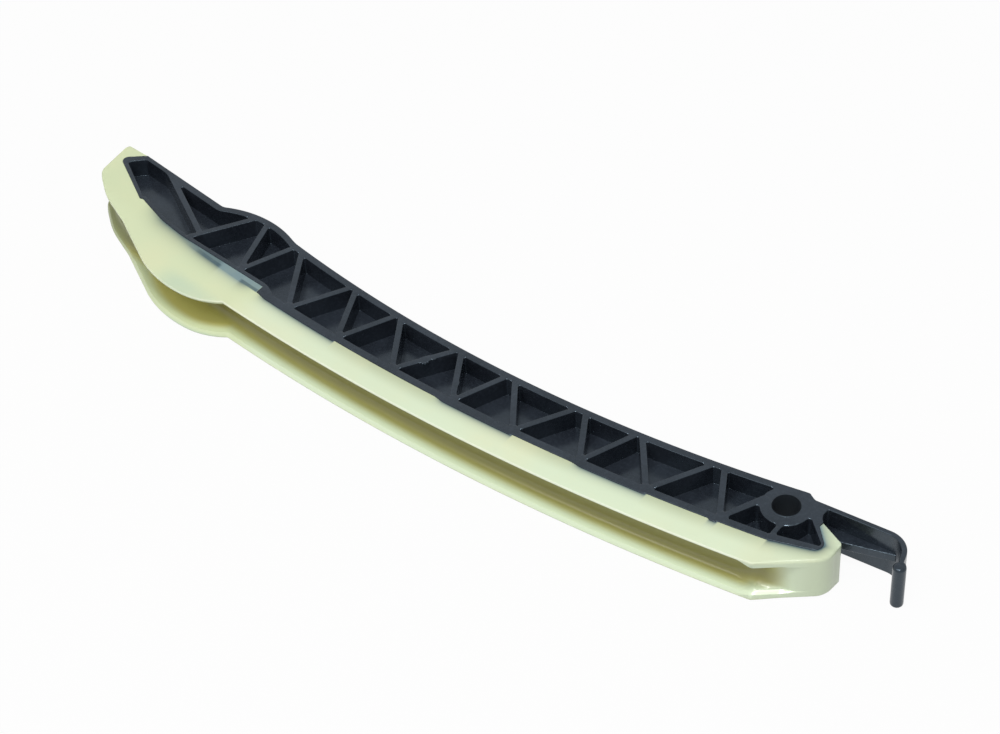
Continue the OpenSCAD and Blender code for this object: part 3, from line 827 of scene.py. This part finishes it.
def pocketGrid(path, top, floor):
    # profile down a pocket: rounded lip, drafted wall, filleted foot; top may be above or below floor
    lip, fillet, draft = carrier["pocketEdge"], carrier["floorFillet"], carrier["draft"]
    down = math.copysign(1.0, floor - top)
    quarter = roundEdge()
    lipPart = np.column_stack([-lip * quarter[:, 0], top + down * lip * quarter[:, 1]])
    below = [[0.0, top + down * carrier["burrDrop"]]]  # the flash on a rib thins out above this height
    turn = np.linspace(0.0, math.pi / 2, 6)
    footIn = draft + fillet * (1.0 - np.cos(turn))
    footPart = np.column_stack([footIn, floor - down * fillet * (1.0 - np.sin(turn))])
    profile = np.vstack([lipPart, below, footPart])
    if down < 0 and burr(path).max() > 0.0:
        path = splitLong(path, 0.3)
    flash = burr(path)[:, None] * (down < 0) * (np.arange(len(profile)) < len(lipPart))[None, :]
    inset = profile[None, :, 0] + flash
    height = profile[None, :, 1] + 0.2 * flash * np.sin(path[:, :1] * 8.0 - path[:, 1:] * 5.0)
    facet = facets(path)
    inset[:, 0] = inset[:, 0] - facet
    height[:, 1:len(lipPart)] += down * facet[:, None] * math.tan(math.radians(carrier["facetSlope"]))
    return carry(path, inset, height)


def outerGrid(path, edge, low, high):  # upright wall round an outline, rounded at both rims by edge
    quarter = roundEdge()
    inset = edge[:, None] * np.concatenate([quarter[:, 0], quarter[::-1, 0]])[None, :]
    drop = edge[:, None] * quarter[None, :, 1]
    return carry(path, inset, np.concatenate([high - drop, low + drop[:, ::-1]], axis=1))


def makeCarrier(material):  # outline wall and bore, pockets down to the web on both sides, shelf at the arm
    shell = Shell()
    high = rail["height"]
    path, onSeam = carrierOutline()
    onBead = smooth((path[:, 0] - carrier["hookX"]) / 2.0) * smooth((carrier["beadTop"] - path[:, 1]) / 1.4)
    freeEdge = between(carrier["edge"], carrier["beadEdge"], onBead)
    wall = outerGrid(path, np.where(onSeam, carrier["seamEdge"], freeEdge), 0.0, high)
    shell.addGrid(wall)
    # a negative edge flares the bore's rims, which stand proud of the boss by as much
    circle = arcPath((0.0, 0.0), rail["bore"], 0.0, 360.0, 0.3)[:-1]
    bore = outerGrid(circle, np.full(len(circle), -carrier["boreEdge"]), 0.0, high)
    shell.addGrid(bore, inward=True)
    webTop = (high + rail["web"]) / 2
    webLow = (high - rail["web"]) / 2
    pockets = pocketLoops()
    for top, floor, up in ((high, webTop, True), (0.0, webLow, False)):
        end = 0 if up else -1
        rims = [wall[:, end], bore[:, end]]
        for loop in pockets:
            grid = pocketGrid(loop, top, floor)
            shell.addGrid(grid, inward=up)
            shell.addCap([grid[:, -1]], up)
            rims.append(grid[:, 0])
        shell.addCap(rims, up)
    # shelf of the web along the arm, let into the wall and the neck
    neck = np.array(rail["neck"])
    slope = math.tan(math.radians(carrier["shelfSlope"]))
    freeX = np.linspace(neck[0], carrier["shelfReach"], 60)
    free = np.column_stack([freeX, neck[1] + slope * (freeX - neck[0])])
    backX = np.linspace(carrier["hookX"], carrier["shelfRoot"][0][0], 40)
    inWall = np.column_stack([backX, armY(backX) - carrier["armWall"] * 0.7])
    shelf = np.vstack([free, [carrier["shelfEnd"]], inWall, carrier["shelfRoot"]])
    slow = np.sin(shelf[:, 0] * 3.1) * np.sin(shelf[:, 0] * 1.3 + 1.0)
    ragged = 0.5 + 0.3 * slow + 0.2 * np.sin(shelf[:, 0] * 7.7)
    edge = carrier["shelfEdge"] + carrier["shelfRagged"] * ragged
    shell.addSolid(outerGrid(shelf, edge, webLow, webTop))
    return shell.build("carrierMoulding", material)


# Slide shoe: flanged channel with ears, a wrap round the tip and a nose, in one moulding
def shoeOuter():  # tip wrap, tail flanges, ears, long flange arc and nose, from the tip to the neck
    slant = fromTip(rail["tipSlant"], 0.0)
    cap = [fromTip(along - shoe["tipWall"], down) for along, down in shoe["tipCap"]]
    tail = [fromTip(*p) for p in shoe["tailFlange"]]
    low = float(flangeY(-shoe["earX"])) - shoe["earDrop"]
    farEnd, nearEnd = shoe["earEnds"]
    far = arcPath((-shoe["earX"], low + shoe["earFar"]), shoe["earFar"], farEnd, 270.0, 0.8)
    near = arcPath((-shoe["earX"], low + shoe["earNear"]), shoe["earNear"], 270.0, nearEnd, 0.8)
    near = near[near[:, 1] < flangeY(near[:, 0]) - 0.05]
    rounds = [0.0, *shoe["capRounds"], *shoe["flangeRounds"], 0.0]
    start = roundCorners([slant, *cap, *tail, far[0]], rounds)
    flangeX = np.arange(near[-1, 0] + 0.5, shoe["noseStart"] - 1.2, 1.0)
    flange = np.column_stack([flangeX, flangeY(flangeX)])
    bowCentre = (shoe["noseX"] - shoe["noseRadius"], -rail["lobeDrop"])
    bow = arcPath(bowCentre, shoe["noseRadius"], *shoe["bowTurn"])
    kink = [shoe["noseStart"], float(flangeY(shoe["noseStart"]))]
    turn = roundCorners([flange[-1], kink, bow[0]], [0.0, shoe["noseRound"], 0.0])
    straight = np.linspace(turn[-2], bow[0], 26)[1:-1]
    cornerCentre = (shoe["noseX"] - shoe["noseCorner"], -shoe["noseBack"])
    corner = arcPath(cornerCentre, shoe["noseCorner"], *shoe["cornerTurn"], 0.25)
    path = np.vstack([start, far[1:], near[1:], flange, turn[1:-1], straight, bow, corner, [rail["neck"]]])
    return dropRepeats(path, False)


def channelDepth(path, onSeam):
    # the way out from the long arc's centre at each station, and how far the channel's floor lies behind
    # the flange edge that way, deepened at the tip and nothing along the seam
    out = path - np.array([-rail["frontLow"], flangeCentreY])
    span = np.linalg.norm(out, axis=1)
    below = tailY(path[:, 0]) - path[:, 1]
    atTip = smooth((-shoe["tipChannelX"] - path[:, 0]) / shoe["tipChannelRun"])
    tipDepth = shoe["tipChannel"] * smooth((below - shoe["tipChannelDrop"]) / 4.0) * atTip
    depth = softMax(softMax(span - floorRadius, 0.0, 2.0), tipDepth, 1.0) - softMax(0.0, 0.0, 1.0)
    return out / span[:, None], np.where(onSeam, 0.0, np.maximum(depth, 0.0))[:, None]


def shoeGrid(path, onSeam, low, high):
    # profile down the shoe's side at each station: rounded rim, flange tip, lead-in, inner face, root
    # fillet and floor, then the same mirrored; the channel part is drawn in by its depth
    out, depth = channelDepth(path, onSeam)
    calm = np.clip(depth / 4.0, 0.0, 1.0)  # lead-in and root fade out where the channel runs shallow
    nose = smooth((path[:, 0] - shoe["noseStart"]) / 8.0) * smooth((-4.5 - path[:, 1]) / 4.0)
    edge = np.where(onSeam, shoe["seamEdge"], between(shoe["edge"], shoe["noseEdge"], nose))
    nearNose = np.where(onSeam, 0.0, smooth((path[:, 0] + 1.0) / 6.0))[:, None]
    flange = between(shoe["flange"], shoe["noseFlange"], nearNose)
    leadMost = (0.6 + 0.25 * nearNose) * depth
    leadWide = np.minimum(shoe["leadIn"] * between(calm, shoe["noseLead"], nearNose), leadMost)
    leadDrop = shoe["leadIn"] * calm * (1.0 - nearNose) + (0.36 * leadWide + 0.08) * nearNose
    root = between(shoe["root"], shoe["noseRoot"], smooth((path[:, :1] + 6.0) / 10.0))
    rootWide = np.minimum(root * calm, 0.98 * (depth - leadWide))
    rootTall = between(rootWide, root, nearNose)
    quarter = roundEdge()
    rimIn = edge[:, None] * quarter[None, :, 0]
    rimDown = edge[:, None] * quarter[None, :, 1]
    turn = np.linspace(0.0, math.pi / 2, 7)[None, :]
    leadIn = leadWide * np.array([[0.0, 0.12, 0.5, 0.88, 1.0]])
    leadDown = flange - leadDrop + leadDrop * np.array([[-0.12, 0.02, 0.5, 0.96, 1.03]])
    rootIn = depth - rootWide + rootWide * np.sin(turn)
    rootDown = flange + 0.15 * between(calm, 1.0, nearNose) + rootTall * (1.0 - np.cos(turn))
    half = (high - low) / 2
    floorDown = np.array([[0.72, 0.86, 1.0]]) * (half - rootDown[:, -1:]) + rootDown[:, -1:]
    floorIn = depth * np.ones((1, 3))
    drawn = np.concatenate([np.zeros_like(rimIn), leadIn, rootIn, floorIn], axis=1)
    down = np.concatenate([rimDown, leadDown, rootDown, floorDown], axis=1)
    inset = np.concatenate([rimIn, np.zeros((len(path), drawn.shape[1] - rimIn.shape[1]))], axis=1)
    drawn = np.concatenate([drawn, drawn[:, -2::-1]], axis=1)
    inset = np.concatenate([inset, inset[:, -2::-1]], axis=1)
    grid = carry(path, inset, np.concatenate([high - down, low + down[:, -2::-1]], axis=1))
    grid[:, :, :2] -= out[:, None, :] * drawn[:, :, None]
    return grid


def makeShoe(material):  # outer edge and seam as one closed path, its profile, and the two flat sides
    shell = Shell()
    outer = shoeOuter()
    seam = seamPath()[::-1][1:-1]
    path = np.vstack([outer, seam])
    onSeam = np.arange(len(path)) >= len(outer)
    keep = apart(path)
    shell.addSolid(shoeGrid(path[keep], onSeam[keep], shoe["inset"], rail["height"] - shoe["inset"]))
    return shell.build("slideShoeMoulding", material)


# Put the two mouldings in place of their solids
carrierPiece = makeCarrier(blackMaterial())
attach(carrierPiece, "root")
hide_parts("carrier")
shoePiece = makeShoe(creamMaterial())
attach(shoePiece, "root")
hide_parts("slide_shoe")
print("mouldings in place")


# Studio
studio = {
    "floorSize": 6.0, "floorColour": (0.7, 0.7, 0.7, 1.0), "glow": 0.95,
    "world": 0.33, "mirrored": 0.68,
    "lamps": [
        ("overhead", (0.14, -0.32, 1.45), (-0.12, 0.0, 0.0), 0.42, 10.0),
        ("high front", (-0.3, -0.65, 1.3), (-0.12, 0.0, 0.0), 0.9, 4.5),
        ("front", (0.35, -1.05, 1.15), (-0.1, 0.0, 0.0), 0.9, 2.5),
    ],
    "eye": (0.28758, -0.49026, 0.60749), "right": (0.77715, 0.62932, 0.0), "up": (-0.43, 0.531, 0.73016),
    "ahead": (-0.45951, 0.56744, -0.68327), "roll": 0.0547, "lens": 95.9,
}


def makeFloor():  # keeps the shadow, and shows white to the camera and in reflections
    half = studio["floorSize"] / 2
    mesh = bpy.data.meshes.new("studioFloor")
    corners = [(-half, -half, 0.0), (half, -half, 0.0), (half, half, 0.0), (-half, half, 0.0)]
    mesh.from_pydata(corners, [], [(0, 1, 2, 3)])
    floor = bpy.data.objects.new("studioFloor", mesh)
    bpy.context.scene.collection.objects.link(floor)
    material = bpy.data.materials.new("pale studio floor")
    material.use_nodes = True
    tree = material.node_tree
    start = Wire(tree)
    seen = start.add("LightPath", {}, {}, "Is Camera Ray")
    mirrored = start.add("LightPath", {}, {}, "Is Glossy Ray")
    through = start.add("LightPath", {}, {}, "Is Transmission Ray")
    matt = start.add("BsdfDiffuse", {}, {"Color": studio["floorColour"]})
    glow = start.add("Emission", {}, {"Color": (1.0, 1.0, 1.0, 1.0), "Strength": 1.0})
    share = seen.high(mirrored).high(through) * studio["glow"]
    both = start.add("MixShader", {}, {0: share, 1: matt, 2: glow})
    tree.links.new(both.socket, tree.nodes["Material Output"].inputs["Surface"])
    mesh.materials.append(material)


def makeLamps():  # three round lamps, and a room that shows white to the camera
    for name, place, aim, size, power in studio["lamps"]:
        lamp = bpy.data.lights.new(name, "AREA")
        lamp.shape = "DISK"
        lamp.size = size
        lamp.energy = power
        holder = bpy.data.objects.new(name, lamp)
        holder.location = place
        holder.rotation_euler = (Vector(aim) - Vector(place)).to_track_quat("-Z", "Y").to_euler()
        bpy.context.scene.collection.objects.link(holder)
    world = bpy.data.worlds.new("soft room")
    world.use_nodes = True
    tree = world.node_tree
    seen = Wire(tree).add("LightPath", {}, {}, "Is Camera Ray")
    mirrored = Wire(tree).add("LightPath", {}, {}, "Is Glossy Ray")
    tree.nodes["Background"].inputs["Color"].default_value = (1.0, 1.0, 1.0, 1.0)
    room = studio["world"]
    level = seen * (1.0 - room) + mirrored * (studio["mirrored"] - room) + room
    tree.links.new(level.socket, tree.nodes["Background"].inputs["Strength"])
    bpy.context.scene.world = world


def makeCamera():  # stands where the photograph was taken from
    lens = bpy.data.cameras.new("photoView")
    lens.sensor_fit = "HORIZONTAL"
    lens.sensor_width = 36.0
    lens.lens = studio["lens"]
    lens.clip_end = 20.0
    right, up, ahead = (np.array(studio[key]) for key in ("right", "up", "ahead"))
    turn = studio["roll"]
    axes = np.column_stack([right * math.cos(turn) - up * math.sin(turn),
                            right * math.sin(turn) + up * math.cos(turn), -ahead])
    place = np.eye(4)
    place[:3, :3] = axes
    place[:3, 3] = studio["eye"]
    camera = bpy.data.objects.new("photoView", lens)
    camera.matrix_world = Matrix(place.tolist())
    bpy.context.scene.collection.objects.link(camera)
    bpy.context.scene.camera = camera


makeFloor()
makeLamps()
makeCamera()
bpy.context.scene.view_settings.view_transform = "Standard"
print("studio ready")
